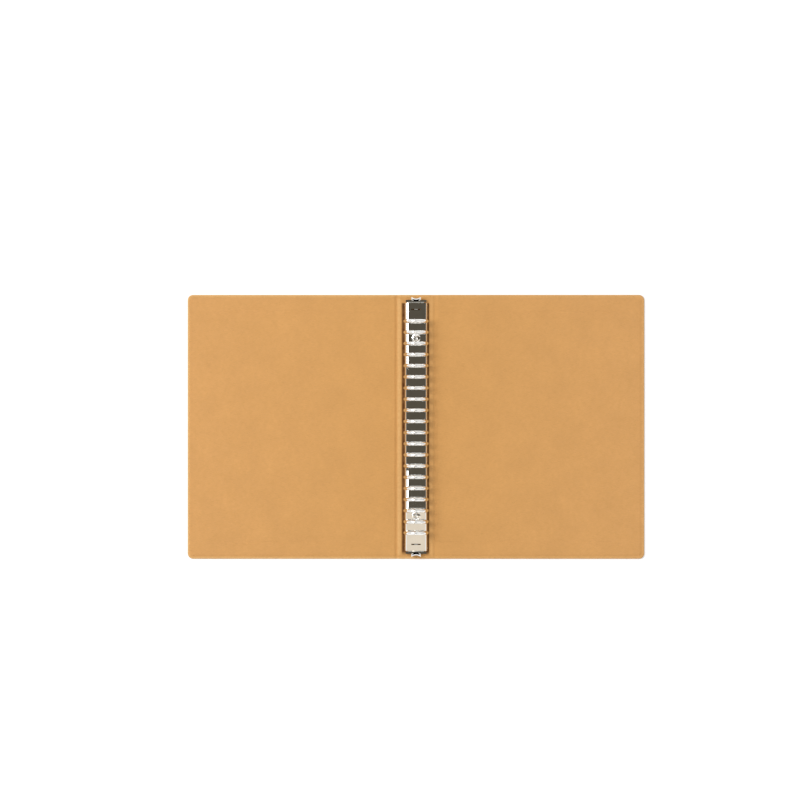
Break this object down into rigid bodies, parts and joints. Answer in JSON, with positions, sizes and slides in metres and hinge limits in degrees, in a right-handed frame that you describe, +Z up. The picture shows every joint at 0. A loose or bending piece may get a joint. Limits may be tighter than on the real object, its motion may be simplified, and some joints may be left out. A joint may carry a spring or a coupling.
{
  "type": "ring album",
  "caption": "Loose-leaf scrapbook album lying open: kraft-covered board covers hinged to a spine that carries a plated ring mechanism with a release lever at each end.",
  "frame": {"origin": "middle of the underside of the open album, on the table", "axes": "+X across the covers towards the back cover, +Y along the spine towards the head, +Z up from the table through the rings"},
  "size_m": [0.391, 0.226, 0.0269],
  "materials": {
    "kraft_wrap": "matt kraft paper, close-fibred, golden brown",
    "kraft_liner": "smooth matt kraft paper, light brown",
    "greyboard": "raw pressed greyboard",
    "bright_nickel": "bright nickel plating, mirror-like",
    "zinc_steel": "zinc-plated sheet, satin"
  },
  "bodies": {
    "spine": {"spine_board": "greyboard", "spine_wrap": "kraft_wrap", "spine_liner": "kraft_liner", "front_hinge_strip": "kraft_wrap", "back_hinge_strip": "kraft_wrap", "ring_case": "bright_nickel", "rivets": "bright_nickel", "lever_pins": "zinc_steel"},
    "front_cover": {"front_board": "greyboard", "front_wrap": "kraft_wrap", "front_liner": "kraft_liner"},
    "back_cover": {"back_board": "greyboard", "back_wrap": "kraft_wrap", "back_liner": "kraft_liner"},
    "left_rings": {"left_blade": "zinc_steel", "left_ring_01": "bright_nickel", "left_ring_02": "bright_nickel", "left_ring_03": "bright_nickel", "left_ring_04": "bright_nickel", "left_ring_05": "bright_nickel", "left_ring_06": "bright_nickel", "left_ring_07": "bright_nickel", "left_ring_08": "bright_nickel", "left_ring_09": "bright_nickel", "left_ring_10": "bright_nickel", "left_ring_11": "bright_nickel", "left_ring_12": "bright_nickel", "left_ring_13": "bright_nickel", "left_ring_14": "bright_nickel", "left_ring_15": "bright_nickel", "left_ring_16": "bright_nickel", "left_ring_17": "bright_nickel", "left_ring_18": "bright_nickel", "left_ring_19": "bright_nickel", "left_ring_20": "bright_nickel"},
    "right_rings": {"right_blade": "zinc_steel", "right_ring_01": "bright_nickel", "right_ring_02": "bright_nickel", "right_ring_03": "bright_nickel", "right_ring_04": "bright_nickel", "right_ring_05": "bright_nickel", "right_ring_06": "bright_nickel", "right_ring_07": "bright_nickel", "right_ring_08": "bright_nickel", "right_ring_09": "bright_nickel", "right_ring_10": "bright_nickel", "right_ring_11": "bright_nickel", "right_ring_12": "bright_nickel", "right_ring_13": "bright_nickel", "right_ring_14": "bright_nickel", "right_ring_15": "bright_nickel", "right_ring_16": "bright_nickel", "right_ring_17": "bright_nickel", "right_ring_18": "bright_nickel", "right_ring_19": "bright_nickel", "right_ring_20": "bright_nickel"},
    "head_lever": {"top_lever": "bright_nickel"},
    "tail_lever": {"bottom_lever": "bright_nickel"}
  },
  "joints": [
    {"name": "front_cover_hinge", "type": "hinge", "parent": "spine", "child": "front_cover", "pos_m": [-0.0165, 0, 0.00045], "axis": [0, 1, 0], "range_deg": [0, 90], "deforming": ["front_hinge_strip"]},
    {"name": "back_cover_hinge", "type": "hinge", "parent": "spine", "child": "back_cover", "pos_m": [0.0165, 0, 0.00045], "axis": [0, -1, 0], "range_deg": [0, 90], "deforming": ["back_hinge_strip"]},
    {"name": "left_rings_swing", "type": "hinge", "parent": "spine", "child": "left_rings", "pos_m": [-0.00845, 0, 0.00515], "axis": [0, -1, 0], "range_deg": [0, 14]},
    {"name": "right_rings_swing", "type": "hinge", "parent": "spine", "child": "right_rings", "pos_m": [0.00845, 0, 0.00515], "axis": [0, 1, 0], "range_deg": [0, 14]},
    {"name": "head_lever_press", "type": "hinge", "parent": "spine", "child": "head_lever", "pos_m": [0, 0.1036, 0.00536], "axis": [-1, 0, 0], "range_deg": [0, 19.6]},
    {"name": "tail_lever_press", "type": "hinge", "parent": "spine", "child": "tail_lever", "pos_m": [0, -0.1036, 0.00536], "axis": [1, 0, 0], "range_deg": [0, 19.6]}
  ],
  "couplings": [
    {"joint": "right_rings_swing", "follows": "left_rings_swing", "ratio": 1},
    {"joint": "head_lever_press", "follows": "left_rings_swing", "ratio": 1.4},
    {"joint": "tail_lever_press", "follows": "left_rings_swing", "ratio": 1.4}
  ]
}
